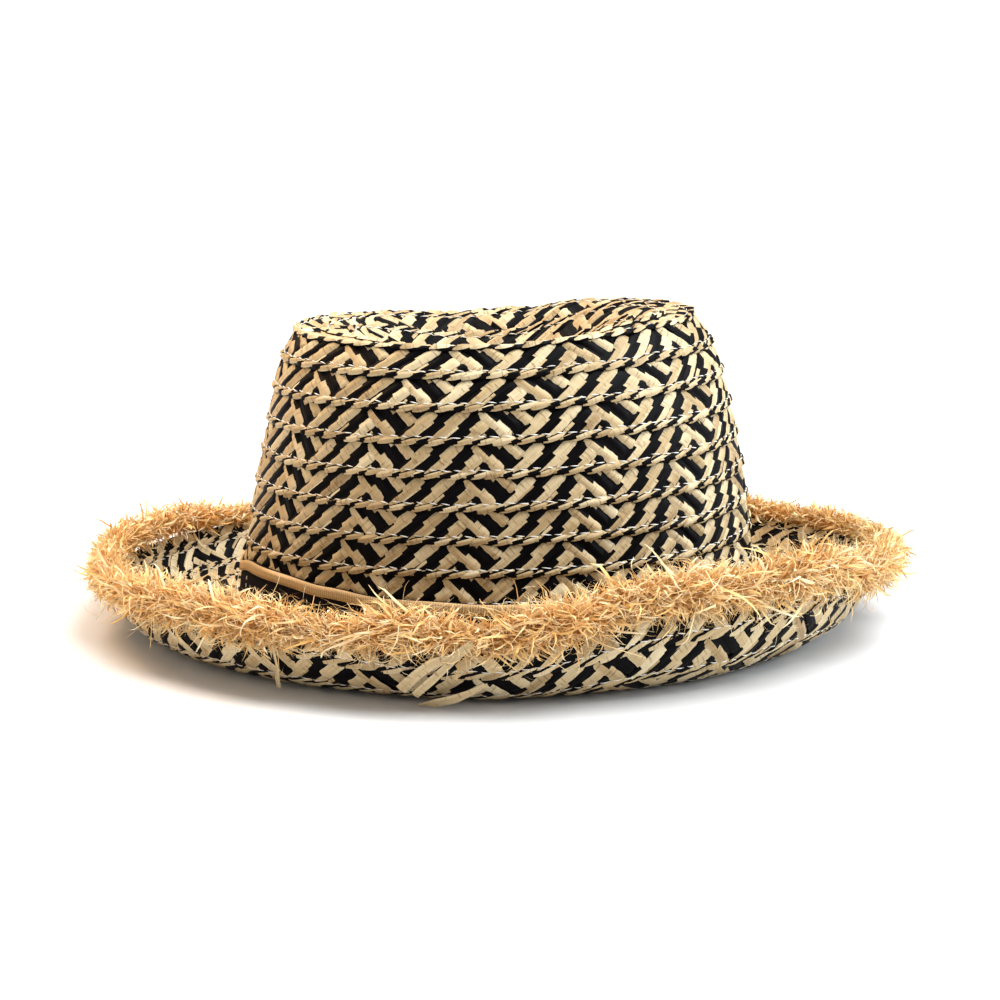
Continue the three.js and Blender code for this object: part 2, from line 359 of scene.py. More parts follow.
def ribbonMaterial(name, dark, light, ribDepth):
    material, tree, shader = newMaterial(name, 0.75)
    uv = node(tree, "UVMap", {"uv_map": "UVMap"}).outputs["UV"]
    rib = node(tree, "TexWave", {"wave_type": "BANDS", "bands_direction": "X"},
               Vector=uv, Scale=345.0, Distortion=0.6, Detail=1.0).outputs["Fac"]
    weave = fibres(tree, 1200, 3500)
    both = addShares(tree, rib, 0.7, weave, 0.5)
    # painted highlight: the ribbons are lightened along their top and lower edges, past their light
    # colour
    selvedgeHighlight = mathNode(tree, "MULTIPLY", attribute(tree, "edge"), 0.5)
    cloth = ramp(tree, both, [(0.15, dark), (0.9, light)])
    colour = blend(tree, selvedgeHighlight, cloth, (*[1.3 * c for c in light], 1))
    tree.links.new(colour, shader.inputs["Base Color"])
    shader.inputs["Specular IOR Level"].default_value = 0.06
    bump = node(tree, "Bump", None, Strength=0.6, Distance=ribDepth, Height=both)
    tree.links.new(bump.outputs["Normal"], shader.inputs["Normal"])
    return material


# Colours of the raffia; the recess colour is painted shade, which the depth attribute lays on towards
# the bound roots
raffiaLooks = {
    "shadedRecess": (0.50, 0.19, 0.025),
    "deep": (0.80, 0.43, 0.11),
    "golden": (0.93, 0.60, 0.23),
    "pale": (0.99, 0.85, 0.55),
}


def raffiaMaterial():
    material, tree, shader = newMaterial("frayed raffia", 0.5)
    tone, depth = attribute(tree, "tone"), attribute(tree, "depth")
    grain = fibres(tree, 150, 3000)
    mixed = addShares(tree, tone, 0.6, grain, 0.4)
    colour = ramp(tree, mixed, [
        (0.15, raffiaLooks["deep"]), (0.5, raffiaLooks["golden"]), (0.8, raffiaLooks["pale"])])
    # painted shade: the shreds blend towards the recess colour where depth is high, near the roots
    colour = blend(tree, depth, colour, (*raffiaLooks["shadedRecess"], 1))
    tree.links.new(colour, shader.inputs["Base Color"])
    shader.inputs["Specular IOR Level"].default_value = 0.25
    bump = node(tree, "Bump", None, Strength=0.4, Distance=0.0003, Height=grain)
    tree.links.new(bump.outputs["Normal"], shader.inputs["Normal"])
    return material


strawFinish = (strawMaterial(), blackMaterial())
threadFinish = threadMaterial()
raffiaFinish = raffiaMaterial()
print("hat: materials made")

# The plait: one repeat of the strands that show in a row, in steps of which a row is 13 high
plait = {
    "period": 45.0,
    "rowHeight": 13.0,
    "repeat": 0.0419,  # real length of one repeat
    "shift": 0.065,  # part of a repeat that each row moves back
    "rimShifts": [(8, 0.245), (9, 0.385)],  # turns of the crown's spiral that move back further
    "relief": 0.0009,
    "lobeRelief": 1.35,
    "blackRelief": 0.62,  # black strands lie a little lower than natural ones
    "crimp": 4.4,  # length of one crimp, then how much it adds to the height and to the width
    "crimpRise": 0.10,
    "crimpSpread": 0.045,
    "hem": 12.3,  # the long strands end here, under the lobes
    "lapTop": 0.0001,  # rise of the backing at the top of a row, and at its lower edge
    "lapEdge": 0.0014,
    "bed": 0.12,  # share of the relief that strands sink into the backing
    "wander": (0.22, 0.18),  # how far strands stray along a row and down it
    "roughEdge": 0.04,
    "roughTop": 0.06,
    "uneven": 0.14,  # how much the strands differ in height
    "toneSpread": 0.22,
    "grainShift": (0.05, 0.01),
    "backing": [(-1.5, -0.2), (6.5, -0.05), (12.2, 0.0), (13.3, -0.25), (13.5, -1.0)],  # down, rise
    "backingStep": 3.0,  # degrees
    "backingTone": 0.3,
    "backingLong": 0.012,
    "softFloor": 0.0008,  # what comes nearer to the floor than this is pressed flatter
    "press": 0.45,
}

# Sewing thread along each row, in metres where it isn't a place in the chart
stitch = {
    "line": 10.2,  # how far down a row
    "pitch": 0.0047,
    "length": 0.0036,
    "radius": 0.0002,
    "start": 0.002,
    "taper": 0.75,
    "slant": 0.45,
    "rise": 0.62,
    "dip": 0.5,
    "unevenLength": 0.08,
    "unevenSlant": 0.5,
    "unevenLine": 0.2,
    "pinch": 0.55,  # how deep and how wide it presses the strands in
    "pinchWide": 0.9,
}

# Start along and down, end along and down, width, and 1 for natural straw or 0 for black
strands = np.array([
    (-4.6, 0.2, 7.2, 10.9, 4.6, 1),
    (0.8, -2.9, 10.9, 7.6, 3.9, 0),
    (7.2, -2.2, 15.0, 5.4, 4.2, 1),
    (12.2, -3.0, 16.6, 1.8, 3.4, 0),
    (9.4, 12.2, 22.9, 0.7, 4.5, 1),
    (15.4, 11.2, 30.9, -1.4, 3.6, 0),
    (20.6, 12.6, 35.7, -0.5, 4.6, 1),
    (26.0, 13.4, 39.7, 1.8, 3.9, 0),
    (33.0, 13.4, 43.6, 4.6, 4.6, 1),
    (41.2, 12.4, 46.2, 7.2, 3.6, 0),
])
lobes = np.array([
    (-5.8, 12.9, 3.0, 10.5, 3.1, 1),
    (0.4, 12.9, 9.0, 10.5, 3.1, 1),
    (6.4, 12.6, 12.0, 10.9, 2.9, 0),
    (9.2, 12.9, 18.0, 10.4, 3.2, 1),
    (15.4, 12.6, 21.4, 10.8, 2.9, 0),
    (19.6, 12.9, 28.4, 10.4, 3.2, 1),
    (26.0, 12.6, 32.4, 10.8, 2.9, 0),
    (30.5, 12.9, 39.3, 10.4, 3.2, 1),
    (36.8, 12.6, 43.0, 10.8, 2.9, 0),
])
chart = np.concatenate([strands, lobes])


# One repeat, as columns: along, down, height from 0 to 1, strand, place along and across it, flank
# (nearness to a strand's side, which sets its painted edge highlight)
def strandTile(lengthSteps, widthSteps):
    tile, faces, size = [], [], 0
    for number, (s0, v0, s1, v1, width, isNatural) in enumerate(chart):
        isLobe = number >= len(strands)
        corners, patch = gridPatch(max(3, lengthSteps // 2 - 1) if isLobe else lengthSteps, widthSteps)
        along, across = corners[:, 0], corners[:, 1]
        length = math.hypot(s1 - s0, v1 - v0)
        ahead = np.array([s1 - s0, v1 - v0]) / length
        crimp = isNatural * np.cos(2 * np.pi * along * length / plait["crimp"])
        dome = (1 - np.abs(2 * across) ** 4) * (1 - np.abs(2 * along) ** 8)
        dome = dome * (1 + plait["crimpRise"] * crimp)
        ends = 0.5 * np.abs(2 * along) ** 3 if isLobe else 0.3 * np.abs(2 * along) ** 14
        spread = across * width * (1 + plait["crimpSpread"] * crimp) * (1 - ends)
        place = np.array([s0, v0]) + np.outer((along + 0.5) * length, ahead)
        place = place + np.outer(spread, [-ahead[1], ahead[0]])
        if not isNatural:
            dome = dome * plait["blackRelief"]
        if isLobe:
            dome = dome * plait["lobeRelief"]
        else:
            place[:, 1] = np.minimum(place[:, 1], plait["hem"])
        # flank: nearness to a strand's sides, used for the painted edge highlight
        flank = np.abs(2 * across) ** 2
        tile.append(np.column_stack([place, dome, 0 * along + number, along * length, spread, flank]))
        faces.append(patch + size)
        size += len(corners)
    return np.concatenate(tile), np.concatenate(faces)


def braidStrip(point, spiral, extraShifts=()):  # the spiral: its angle, length and repeats
    firstRow, lastAngle = spiral["firstRow"], 360 * spiral["turns"]
    angles = np.arange(-90, lastAngle + 1, 2.0)
    middle = point(angles, firstRow - angles / 360 + 0.5)
    steps = np.linalg.norm(np.diff(middle, axis=0), axis=1)
    length = np.concatenate([[0], np.cumsum(steps)])
    crossings = np.append(np.arange(-90, lastAngle, 360.0), angles[-1])
    marks = np.interp(crossings, angles, length)
    counts = np.diff(marks) / plait["repeat"]
    counts[:-1] = np.maximum(np.round(counts[:-1]), 1) - plait["shift"]
    for turn, part in extraShifts:
        counts[turn] -= part
    phases = spiral["phase"] + np.concatenate([[0], np.cumsum(counts)])
    return {"point": point, "firstRow": firstRow, "angles": angles, "length": length,
            "phase": np.interp(length, marks, phases), "last": marks[-1], "lowest": spiral["lowest"]}


def onFloor(points):  # presses what would sink under z = 0 flat on it
    soft = plait["softFloor"]
    low = points[..., 2]
    points[..., 2] = np.where(low < soft, soft + (low - soft) * plait["press"], low)
    return points


def onStrip(strip, degrees, down, height, side, tuck):
    share = down / plait["rowHeight"]
    row = strip["firstRow"] - degrees / 360 + (share if side > 0 else 1 - share)
    row = np.maximum(row, strip["lowest"])
    lap = mix(plait["lapTop"], plait["lapEdge"], np.clip(share, 0, 1))
    seated = tuck(strip["point"](degrees, row), lap + height) * side
    return onFloor(offSurface(strip["point"], degrees, row, seated))


def braidParts(strip, side, relief, tuck, lengthSteps=12, widthSteps=3):
    tile, faces = strandTile(lengthSteps, widthSteps)
    first = math.ceil(strip["phase"][0])
    last = math.floor(np.interp(strip["last"], strip["length"], strip["phase"]))
    count = last - first
    turn = np.arange(first, last)
    which = tile[:, 3].astype(int)
    jitter = rng.normal(size=(4, count, len(chart)))[:, :, which]
    rough = rng.normal(size=(3, count, len(tile)))
    wander, grainShift = plait["wander"], plait["grainShift"]
    along = tile[None, :, 0] + wander[0] * jitter[0] + plait["roughEdge"] * rough[0]
    down = tile[None, :, 1] + wander[1] * jitter[1] + plait["roughEdge"] * rough[1]
    degrees = np.interp(turn[:, None] + along / plait["period"], strip["phase"], strip["angles"])
    pinch = 1 - stitch["pinch"] * np.exp(-((down - stitch["line"]) / stitch["pinchWide"]) ** 2)
    uneven = (1 + plait["roughTop"] * rough[2]) * (1 + plait["uneven"] * jitter[2])
    height = relief * (tile[None, :, 2] * pinch * uneven - plait["bed"])
    points = onStrip(strip, degrees, down, height, side, tuck).reshape(-1, 3)
    size = len(tile)
    tone = np.clip(0.5 + plait["toneSpread"] * jitter[3], 0, 1).ravel()
    natural = np.broadcast_to(chart[which, 5], (count, size)).ravel()
    scale = plait["repeat"] / plait["period"]
    grainAlong = tile[None, :, 4] * scale + grainShift[0] * jitter[3]
    grainAcross = tile[None, :, 5] * scale + grainShift[1] * jitter[0]
    uv = np.stack([grainAlong, grainAcross], -1)
    # edge carries the flank, for the painted highlight along the strands' sides
    edge = np.broadcast_to(tile[:, 6], (count, size)).ravel()
    values = {"natural": natural, "tone": tone, "edge": edge}
    faces = copies(count, size, faces)
    if side < 0:
        faces = faces[:, ::-1]
    return points, faces, values, uv.reshape(-1, 2)


def shadeSheetValues(points):  # values of the black underlay and sheets, black to stand for the shade seen between the strands
    zero = np.zeros(len(points))
    return {"natural": zero, "tone": zero + plait["backingTone"], "edge": zero}


def backingParts(strip, side, tuck):  # the dark underlay of a row, lapped over the next one; its shape is the row's real underlay, its black is painted shade for the gaps between strands
    profile = np.array(plait["backing"])
    angles = np.arange(-90, strip["angles"][-1], plait["backingStep"])
    corners, faces = gridPatch(len(angles) - 1, len(profile) - 1)
    degrees = angles[np.rint((corners[:, 0] + 0.5) * (len(angles) - 1)).astype(int)]
    down, rise = profile[np.rint((corners[:, 1] + 0.5) * (len(profile) - 1)).astype(int)].T
    points = onStrip(strip, degrees, down, rise * plait["lapEdge"], side, tuck)
    if side < 0:
        faces = faces[:, ::-1]
    uv = np.stack([degrees / 360, down * 0.001], -1)
    return points, faces, shadeSheetValues(points), uv


def stitchParts(strip, side, relief, tuck):
    corners, faces = gridPatch(3, 4)
    ring = 2 * np.pi * (corners[:, 1] + 0.5)
    taper = 1 - stitch["taper"] * np.abs(2 * corners[:, 0]) ** 3
    dip = np.abs(2 * corners[:, 0]) ** 2
    starts = np.arange(stitch["start"], strip["last"], stitch["pitch"])
    jitter = rng.normal(size=(3, len(starts), 1))
    length = stitch["length"] * (1 + stitch["unevenLength"] * jitter[0])
    way = starts[:, None] + corners[None, :, 0] * length
    degrees = np.interp(way, strip["length"], strip["angles"])
    chartSize = plait["rowHeight"] / rows["pitch"]
    radius = stitch["radius"] * taper
    slant = stitch["slant"] * corners[None, :, 0] * (1 + stitch["unevenSlant"] * jitter[1])
    down = stitch["line"] + stitch["unevenLine"] * jitter[2] + slant + np.cos(ring) * radius * chartSize
    height = relief * (stitch["rise"] - stitch["dip"] * dip) + np.sin(ring) * radius
    height = np.broadcast_to(height, down.shape)
    points = onStrip(strip, degrees, down, height, side, tuck).reshape(-1, 3)
    uv = np.broadcast_to(corners * [0.004, 0.001], (len(starts), *corners.shape)).reshape(-1, 2)
    return points, copies(len(starts), len(corners), faces), {}, uv


# Smooth dark sheets behind the strands, painted shade for the gaps between them: steps, then how far
# out from the surface they lie
shells = {
    "around": 180,
    "crownSteps": 32,
    "brimSteps": 24,
    "outside": -0.0014,
    "inside": -0.0016,
    "brim": 0.0001,
    "headEdge": -0.2,  # row at which the brim's sheets start
}


def shellPart(point, rowLow, rowHigh, steps, height, flip):  # a smooth closed-round sheet
    corners, faces = gridPatch(shells["around"], steps)
    degrees = (corners[:, 0] + 0.5) * 360
    row = mix(rowLow, rowHigh, corners[:, 1] + 0.5)
    points = offSurface(point, degrees, row, 0 * row + height)
    uv = np.stack([degrees / 360, row * plait["backingLong"]], -1)
    return points, (faces[:, ::-1] if flip else faces), shadeSheetValues(points), uv


# Crown, and how much higher the ribbon sits round it, in metres
ribbonRise = np.array([(0, 0), (90, 0), (165, -0.001), (182, -0.001), (201, 0.0036), (219, 0.0031),
                       (231, 0.0022), (245, 0.0011), (270, 0), (330, 0)])
ribbonTop = hat["crownFoot"] + hat["ribbonHigh"]

crownSpiral = {
    "firstRow": math.floor(rows["tip"] + 0.75 + rows["wall"]),
    "turns": 15.45,
    "phase": 0.565,  # where in a repeat the braid starts
    "lowest": 0.03,
}
crownSeat = {
    "fadeLow": 0.0025,  # from under the ribbon's top edge to above it the straw sinks under the ribbon
    "fadeHigh": 0.0008,
    "flat": 0.15,  # relief left under the ribbon
    "sunk": 0.0004,
    "level": 0.0009,
    "insideRelief": 0.6,
    "insideLevel": 0.0014,
    "insideStrands": 0.7,
}


def crownTuck(points, height):  # the straw lies flatter under the ribbon
    degrees = np.degrees(np.arctan2(points[..., 1] / halfWidth, points[..., 0] / halfLength))
    top = ribbonTop + around(ribbonRise, 1, degrees)
    under = 1 - smooth(top - crownSeat["fadeLow"], top + crownSeat["fadeHigh"], points[..., 2])
    return mix(height, crownSeat["flat"] * height - crownSeat["sunk"], under) - crownSeat["level"]


def insideTuck(points, height):
    return height * crownSeat["insideRelief"] + crownSeat["insideLevel"]


crownRows = rows["tip"] + rows["wall"]
crownStrip = braidStrip(crownPoint, crownSpiral, plait["rimShifts"])
outside = joined([
    braidParts(crownStrip, 1, plait["relief"], crownTuck),
    backingParts(crownStrip, 1, crownTuck),
    shellPart(crownPoint, 0.0, crownRows, shells["crownSteps"], shells["outside"], False),
])
crownBraid = newPiece("crown_braid", *outside, strawFinish, "straw_braid")
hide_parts("crown")
inside = joined([
    braidParts(crownStrip, -1, plait["relief"] * crownSeat["insideStrands"], insideTuck, 6, 2),
    shellPart(crownPoint, 0.0, crownRows, shells["crownSteps"], shells["inside"], True),
])
newPiece("crown_inside", *inside, strawFinish, "straw_braid")
crownStitches = stitchParts(crownStrip, 1, plait["relief"], crownTuck)
newPiece("crown_stitches", *crownStitches, threadFinish, "straw_braid")
print("hat: crown made,", len(outside[1]), "faces outside")

# Brim
brimSpiral = {
    "firstRow": 4.75,
    "turns": 5.5,
    "phase": 0.2,
    "lowest": -0.1,
}
brimSeat = {"relief": 0.55, "level": 0.0002}


def brimTuck(points, height):
    return height * brimSeat["relief"] + brimSeat["level"]


brimStrip = braidStrip(brimPoint, brimSpiral)
brimOver = joined([
    braidParts(brimStrip, 1, plait["relief"], brimTuck),
    shellPart(brimPoint, shells["headEdge"], rows["brim"], shells["brimSteps"], shells["brim"], False),
])
brimTop = newPiece("brim_top", *brimOver, strawFinish, "straw_braid")
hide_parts("brim")
brimUnder = joined([
    braidParts(brimStrip, -1, plait["relief"], brimTuck),
    shellPart(brimPoint, shells["headEdge"], rows["brim"], shells["brimSteps"], -shells["brim"], True),
])
newPiece("brim_underside", *brimUnder, strawFinish, "straw_braid")
newPiece("brim_stitches", *joined([
    stitchParts(brimStrip, 1, plait["relief"], brimTuck),
    stitchParts(brimStrip, -1, plait["relief"], brimTuck),
]), threadFinish, "straw_braid")
print("hat: brim made,", len(brimOver[1]), "faces on top")

# Ribbon and stripe
ribbons = {
    "black": {"low": 0.0003, "high": 0.0227, "inner": 0.0003, "outer": 0.0013,
              "dark": (0.0025, 0.002, 0.003), "light": (0.012, 0.010, 0.013)},
    "tan": {"low": 0.0188, "high": 0.0227, "inner": 0.0014, "outer": 0.0022,
            "dark": (0.36, 0.225, 0.10), "light": (0.60, 0.40, 0.20)},
    "flat": (0.0224, 0.585),  # height and length of the black ribbon laid flat
    "waves": [(0.00025, 7, 0), (0.00015, 17, 40)],  # ripples: height, number round the hat, start
    "ribDepth": 0.0004,
}


def ribbonBand(name, spec, material, slot):
    corners, faces = gridPatch(360, 12)
    degrees = (corners[:, 0] + 0.5) * 360
    ring = np.mod(corners[:, 1] + 0.5, 1) * 4  # outer face, top edge, inner face, lower edge
    middleHeight = (spec["low"] + spec["high"]) / 2
    halfHeight = (spec["high"] - spec["low"]) / 2
    middleDepth = (spec["inner"] + spec["outer"]) / 2
    halfDepth = (spec["outer"] - spec["inner"]) / 2
    angle = ring * np.pi / 2 - np.pi / 4
    square = np.maximum(np.abs(np.cos(angle)), np.abs(np.sin(angle)))
    depth = middleDepth + halfDepth * np.cos(angle) / square
    height = middleHeight + halfHeight * np.sin(angle) / square
    for size, number, start in ribbons["waves"]:
        height = height + size * np.sin(np.radians(degrees * number + start))
    raised = height + around(ribbonRise, 1, degrees)
    points = wallPoint(degrees, raised / hat["crownHeight"]) + outward(degrees) * depth[:, None]
    uv = np.stack([degrees / 360 * ribbons["flat"][1], height], -1)
    # edge: where the painted highlight along the ribbon's top and lower edges falls
    edge = np.abs((height - middleHeight) / halfHeight) ** 8
    return newPiece(name, points, faces, {"edge": edge}, uv, material, slot)


black = ribbons["black"]
tan = ribbons["tan"]
blackGrosgrain = ribbonMaterial("black grosgrain", black["dark"], black["light"], ribbons["ribDepth"])
tanGrosgrain = ribbonMaterial("tan grosgrain", tan["dark"], tan["light"], ribbons["ribDepth"])
ribbon = ribbonBand("ribbon_black", black, blackGrosgrain, "ribbon_black")
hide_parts("ribbon")
stripe = ribbonBand("ribbon_tan", tan, tanGrosgrain, "ribbon_tan")
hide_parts("ribbon_stripe")


lapJoint = {
    "radius": 0.00028,
    "roundness": 0.8,
    "rise": 0.4,
    "lines": [(199.5, 0.0030, 0.0100), (204.5, 0.0030, 0.0085),
              (196.5, 0.0120, 0.0134), (196.5, 0.0150, 0.0164)],  # angle, lower end, upper end
}


def lapStitches():  # upright lines of thread where the ribbon's ends lap
    corners, faces = gridPatch(6, 6)
    parts = []
    for degrees, low, high in lapJoint["lines"]:
        height = mix(low, high, corners[:, 0] + 0.5)
        ring = 2 * np.pi * (corners[:, 1] + 0.5)
        turn = degrees + 0 * ring
        raised = height + around(ribbonRise, 1, turn)
        radius = lapJoint["radius"]
        depth = black["outer"] + radius * (lapJoint["roundness"] * np.sin(ring) + lapJoint["rise"])
        points = wallPoint(turn, raised / hat["crownHeight"]) + outward(turn) * depth[:, None]
        sideways = np.cross(outward(turn), [0, 0, 1.0])
        points = points + sideways * (radius * np.cos(ring))[:, None]
        parts.append((points, faces, {}, np.stack([height, ring * 0.0002], -1)))
    return joined(parts)


newPiece("ribbon_lap_stitches", *lapStitches(), threadFinish, "ribbon_black")
print("hat: ribbon made")

# Fringe: thousands of flat curly shreds round bound roots on the brim's edge
fringe = {
    "pieces": 4,
    "shreds": 7400,
    "steps": 7,
    "length": (0.0075, 0.0175),
    "fine": (0.00028, 0.00052),
    "wide": (0.0008, 0.0016),
    "wideShare": 0.3,
    "curl": 1.6,
    "curlyShare": 0.5,
    "curlier": 2.6,
    "wiggle": 0.0006,
    "longest": 0.0102,  # the reach that the lengths are made for
    "roots": 0.42,  # the bound roots, as a share of the reach
    "strays": 0.07,
    "strayReach": 1.55,
    "clumps": [(0.10, 17, 1), (0.08, 41, 2)],  # size, number round the hat and start
    "tilts": (62, 14),  # degrees upwards at the far side and at the near one
    "tiltSpread": 72,
    "tiltEnds": (-130, 165),
    "nearBlend": 0.7,
    "outwards": 0.8,  # shares of a shred's heading
    "sideways": 1.5,
    "anyWay": 0.6,
    "twist": 1.6,
    "waves": (3, 8),
    "rootWidth": 0.85,
    "ragged": 0.12,
    "heldBack": 0.75,  # share of what a shred overshoots that is pulled back in
    "floorGap": 0.0006,
    "tone": (0.46, 0.22),
    "tipTone": 0.3,
    # strength of the painted shade towards the roots
    "shade": 0.95,
    "coreTone": 0.3,
    "coreSteps": (240, 10),
}

# Angle, how far most shreds reach, and how much higher their roots sit
fringeRows = np.array([
    (0, 0.0076, -0.001), (45, 0.0070, -0.0015), (90, 0.0066, -0.0025), (135, 0.0068, -0.0020),
    (160, 0.0086, 0.0014), (180, 0.0078, 0.0012), (210, 0.0098, -0.0034), (230, 0.0106, -0.0032),
    (248, 0.0084, -0.0018), (257, 0.0096, 0.0036), (268, 0.0086, 0.0012), (276, 0.0100, 0.0034),
    (290, 0.0104, 0.0024), (312, 0.0110, -0.002), (340, 0.0100, -0.004),
])


def rootsAt(degrees):
    edge = brimPoint(degrees, 0 * degrees + rows["brim"])
    climb = unit(edge - brimPoint(degrees, 0 * degrees + rows["brim"] - 0.4))
    middle = edge + climb * hat["lockRise"]
    middle[..., 2] += around(fringeRows, 2, degrees)
    return middle


def reachAt(degrees):  # uneven clumps
    clump = 1.0
    for size, number, start in fringe["clumps"]:
        clump = clump + size * np.sin(number * np.radians(degrees) + start)
    return around(fringeRows, 1, degrees) * clump


def shredParts(count):
    corners, faces = gridPatch(fringe["steps"], 1)
    degrees = rng.uniform(0, 360, count)
    middle = rootsAt(degrees)
    reach = reachAt(degrees)
    out = outward(degrees)
    up = np.array([0, 0, 1.0])
    ahead = np.cross(up, out)
    near = smooth(-fringe["nearBlend"], fringe["nearBlend"], -np.sin(np.radians(degrees)))
    tilt = mix(*fringe["tilts"], near) + rng.normal(0, fringe["tiltSpread"], count)
    tilt = np.radians(np.clip(tilt, *fringe["tiltEnds"]))
    radius = fringe["roots"] * reach * np.sqrt(rng.uniform(0, 1, count))
    radial = np.cos(tilt)[:, None] * out + np.sin(tilt)[:, None] * up
    root = middle + radial * radius[:, None]
    lean = rng.normal(0, fringe["sideways"], count)
    anyWay = fringe["anyWay"] * rng.normal(size=(count, 3))
    heading = unit(fringe["outwards"] * radial + ahead * lean[:, None] + anyWay)
    bend = unit(np.cross(heading, rng.normal(size=(count, 3))))
    length = rng.uniform(*fringe["length"], count) * reach / fringe["longest"]
    curly = np.where(rng.uniform(size=count) < fringe["curlyShare"], fringe["curlier"], 1.0)
    turn = fringe["curl"] * curly * rng.normal(0, 1, count)
    twist = rng.normal(0, fringe["twist"], count)
    wide = rng.uniform(size=count) < fringe["wideShare"]
    width = np.where(wide, rng.uniform(*fringe["wide"], count), rng.uniform(*fringe["fine"], count))
    stray = np.where(rng.uniform(size=count) < fringe["strays"], fringe["strayReach"], 1.0)
    length = length * stray
    share = corners[:, 0] + 0.5
    angle = turn[:, None] * share[None]
    safe = np.where(np.abs(turn) < 1e-3, 1e-3, turn)
    run = length[:, None] * np.sin(angle) / safe[:, None]
    bow = length[:, None] * (1 - np.cos(angle)) / safe[:, None]
    flank = np.cross(heading, bend)
    wave = rng.uniform(0, 6.3, count)[:, None]
    wave = wave + share[None] * rng.uniform(*fringe["waves"], count)[:, None]
    sway = fringe["wiggle"] * np.sin(wave) * share[None]
    path = (root[:, None] + heading[:, None] * run[..., None] + bend[:, None] * bow[..., None]
            + flank[:, None] * sway[..., None])
    spun = rng.uniform(0, 6.3, count)[:, None] + twist[:, None] * share[None]
    side = flank[:, None] * np.cos(spun)[..., None] + bend[:, None] * np.sin(spun)[..., None]
    narrow = (1 - share) ** 0.6 * fringe["rootWidth"] + (1 - fringe["rootWidth"])
    points = path + side * (corners[None, :, 1] * width[:, None] * narrow[None])[..., None]
    away = points - middle[:, None]
    away = away - ahead[:, None] * np.sum(away * ahead[:, None], -1, keepdims=True)
    far = np.linalg.norm(away, axis=-1)
    limit = (reach * stray * (1 + fringe["ragged"] * rng.normal(size=count)))[:, None]
    overshoot = np.maximum(far - limit, 0) / np.maximum(far, 1e-6)
    points = points - away * (overshoot * fringe["heldBack"])[..., None]
    points[..., 2] = np.maximum(points[..., 2], fringe["floorGap"])
    tone = np.clip(rng.normal(*fringe["tone"], count), 0, 1)[:, None]
    tone = tone + fringe["tipTone"] * share[None] ** 1.5
    # depth is painted shade: darker the nearer a point lies to the bound roots
    depth = np.clip(1 - far / reach[:, None], 0, 1) ** 1.2 * fringe["shade"]
    uv = np.stack([share[None] * length[:, None], corners[None, :, 1] * width[:, None] + tone], -1)
    size = len(corners)
    values = {"tone": tone.ravel(), "depth": depth.ravel()}
    return points.reshape(-1, 3), copies(count, size, faces), values, uv.reshape(-1, 2)


def corePart():  # the bound roots, painted all over in the shaded recess colour
    corners, faces = gridPatch(*fringe["coreSteps"])
    degrees = (corners[:, 0] + 0.5) * 360
    ring = 2 * np.pi * (corners[:, 1] + 0.5)
    across = outward(degrees) * np.cos(ring)[:, None]
    across[:, 2] = np.sin(ring)
    points = rootsAt(degrees) + across * (fringe["roots"] * reachAt(degrees))[:, None]
    # depth 1: the whole core takes the painted shade colour
    full = np.ones(len(points))
    values = {"tone": full * fringe["coreTone"], "depth": full}
    return points, faces[:, ::-1], values, np.stack([degrees / 57, ring / 200], -1)


for number in range(fringe["pieces"]):
    parts = [shredParts(fringe["shreds"])]
    if number == 0:
        parts.append(corePart())
    tuft = newPiece(f"fringe_{number + 1}", *joined(parts), raffiaFinish, "raffia")
    if number == 0:
        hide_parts("fringe")
print("hat: fringe made")

# Loose straw ends that hang from the near underside
loose = {
    "stepsAlong": 12,
    "lookAhead": 0.2,  # steps between which its direction is taken
    "hollow": 0.0004,
    "floorGap": 0.0003,
    "tone": 0.5,
    "ends": [  # points along each, then the width there, in metres
        [(-0.0785, -0.1170, 0.0200, 0.0014), (-0.0768, -0.1165, 0.0115, 0.0011),
         (-0.0772, -0.1135, 0.0065, 0.0021), (-0.0768, -0.1120, 0.0030, 0.0019)],
        [(-0.0080, -0.1385, 0.0265, 0.0034), (-0.0150, -0.1362, 0.0205, 0.0036),
         (-0.0215, -0.1365, 0.0190, 0.0040), (-0.0275, -0.1340, 0.0140, 0.0038),
         (-0.0331, -0.1298, 0.0075, 0.0040)],
        [(-0.0110, -0.1375, 0.0240, 0.0024), (-0.0165, -0.1362, 0.0180, 0.0026),
         (-0.0225, -0.1350, 0.0120, 0.0030), (-0.0282, -0.1308, 0.0058, 0.0028)],
        [(-0.0030, -0.1348, 0.0110, 0.0010), (-0.0090, -0.1345, 0.0078, 0.0026),
         (-0.0147, -0.1322, 0.0048, 0.0036), (-0.0215, -0.1285, 0.0022, 0.0034),
         (-0.0273, -0.1248, 0.0006, 0.0003)],
    ],
}


def stopAt(stops, share, column):
    return np.interp(share, np.arange(len(stops)), stops[:, column])


def looseParts(stops):  # a flat straw along its points
    stops = np.array(stops)
    corners, faces = gridPatch(loose["stepsAlong"], 2)
    share = (corners[:, 0] + 0.5) * (len(stops) - 1)
    look = loose["lookAhead"]
    at = np.stack([stopAt(stops, share, k) for k in range(4)], -1)
    ahead = [stopAt(stops, share + look, k) - stopAt(stops, share - look, k) for k in range(3)]
    ahead = np.stack(ahead, -1)
    facing = unit(at[:, :3] * [1, 1, 0] + [0, 0, -0.05])
    across = unit(np.cross(ahead, facing))
    curve = facing * (loose["hollow"] * (1 - (2 * corners[:, 1]) ** 2))[:, None]
    points = at[:, :3] + across * (corners[:, 1] * at[:, 3])[:, None] + curve
    points[:, 2] = np.maximum(points[:, 2], loose["floorGap"])
    one = np.ones(len(points))
    # edge: painted highlight along the loose straws' sides
    values = {"natural": one, "tone": one * loose["tone"], "edge": (2 * corners[:, 1]) ** 2}
    return points, faces, values, np.stack([share * 0.006, corners[:, 1] * at[:, 3]], -1)


looseEnds = joined([looseParts(stops) for stops in loose["ends"]])
newPiece("loose_straw_ends", *looseEnds, strawFinish, "straw_braid")
print("hat: loose ends made")

